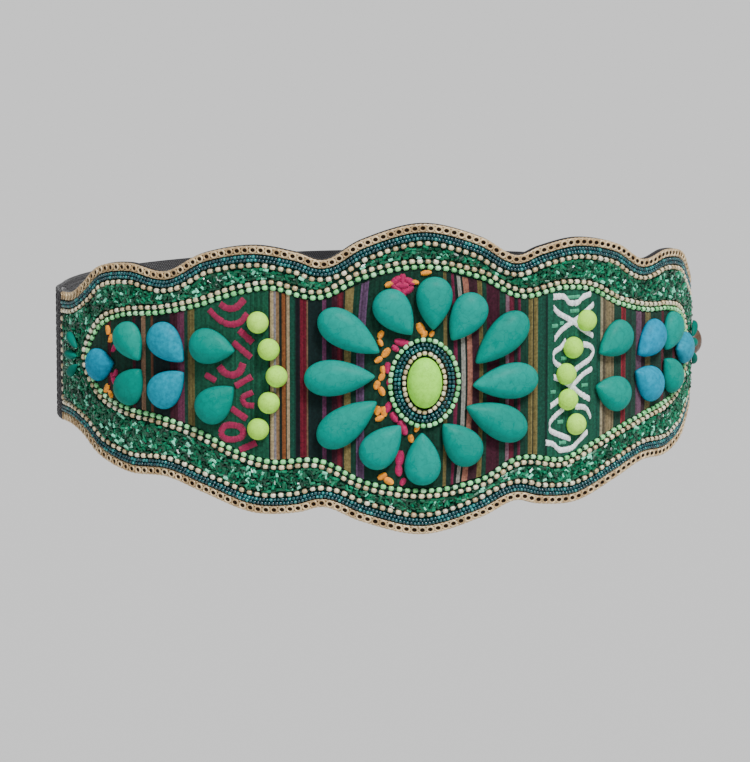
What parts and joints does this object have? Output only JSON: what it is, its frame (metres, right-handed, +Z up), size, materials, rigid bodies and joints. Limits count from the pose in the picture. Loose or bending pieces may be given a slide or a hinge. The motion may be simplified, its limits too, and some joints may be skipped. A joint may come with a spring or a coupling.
{
  "type": "beaded belt",
  "caption": "Closed waist belt with a stiff scalloped front panel sewn with pear-shaped stones and rows of beads, and an elastic band round the back that buttons at the side.",
  "frame": {"origin": "centre of the waist that the belt goes round, at the belt's mid height", "axes": "+Z up along the body, -Y out through the front centre of the beaded panel, +X towards the end with the button"},
  "size_m": [0.256, 0.1898, 0.1168],
  "materials": {
    "black_felt": "stiff felt, matt",
    "black_elastic": "ribbed elastic webbing, matt",
    "brown_button": "turned wood, waxed",
    "gold_braid": "antique gold thread, soft sheen",
    "gold_bead": "champagne gold glass seed beads, lustre",
    "teal_bead": "dark teal glass seed beads, glossy, opaque",
    "mint_bead": "mint glass seed beads, glossy, opaque",
    "green_bead": "emerald green cut glass beads, glossy, opaque",
    "striped_cloth": "woven stripes in dark green, maroon, tan and cream",
    "teal_stone": "turquoise green cabochon, satin",
    "blue_stone": "turquoise blue cabochon, satin",
    "lime_stone": "lime green cabochon with faint veins, satin"
  },
  "bodies": {
    "root": {"backing_panel": "black_felt", "elastic_band": "black_elastic", "side_button": "brown_button", "edge_braid_top": "gold_braid", "edge_braid_bottom": "gold_braid", "teal_rows_top": "teal_bead", "teal_rows_bottom": "teal_bead", "outer_gold_row": "gold_bead", "green_bead_band": "green_bead", "field_gold_row": "gold_bead", "field_mint_row": "mint_bead", "striped_cloth": "striped_cloth", "centre_stone": "lime_stone", "centre_gold_ring": "gold_bead", "centre_teal_ring": "teal_bead", "centre_mint_ring": "mint_bead", "petal_01": "teal_stone", "petal_02": "teal_stone", "petal_03": "teal_stone", "petal_04": "teal_stone", "petal_05": "teal_stone", "petal_06": "teal_stone", "petal_07": "teal_stone", "petal_08": "teal_stone", "petal_09": "teal_stone", "petal_10": "teal_stone", "petal_11": "teal_stone", "petal_12": "teal_stone", "left_drop_1": "teal_stone", "left_drop_2": "teal_stone", "left_drop_3": "blue_stone", "left_drop_4": "blue_stone", "left_drop_5": "teal_stone", "left_drop_6": "teal_stone", "left_end_drop": "blue_stone", "right_drop_1": "teal_stone", "right_drop_2": "teal_stone", "right_drop_3": "blue_stone", "right_drop_4": "blue_stone", "right_drop_5": "teal_stone", "right_drop_6": "teal_stone", "right_end_drop": "blue_stone", "left_dot_1": "lime_stone", "left_dot_2": "lime_stone", "left_dot_3": "lime_stone", "left_dot_4": "lime_stone", "left_dot_5": "lime_stone", "right_dot_1": "lime_stone", "right_dot_2": "lime_stone", "right_dot_3": "lime_stone", "right_dot_4": "lime_stone", "right_dot_5": "lime_stone", "left_fan_1": "teal_stone", "left_fan_2": "teal_stone", "left_fan_3": "teal_stone", "right_fan_1": "teal_stone", "right_fan_2": "teal_stone", "right_fan_3": "teal_stone"}
  },
  "joints": []
}
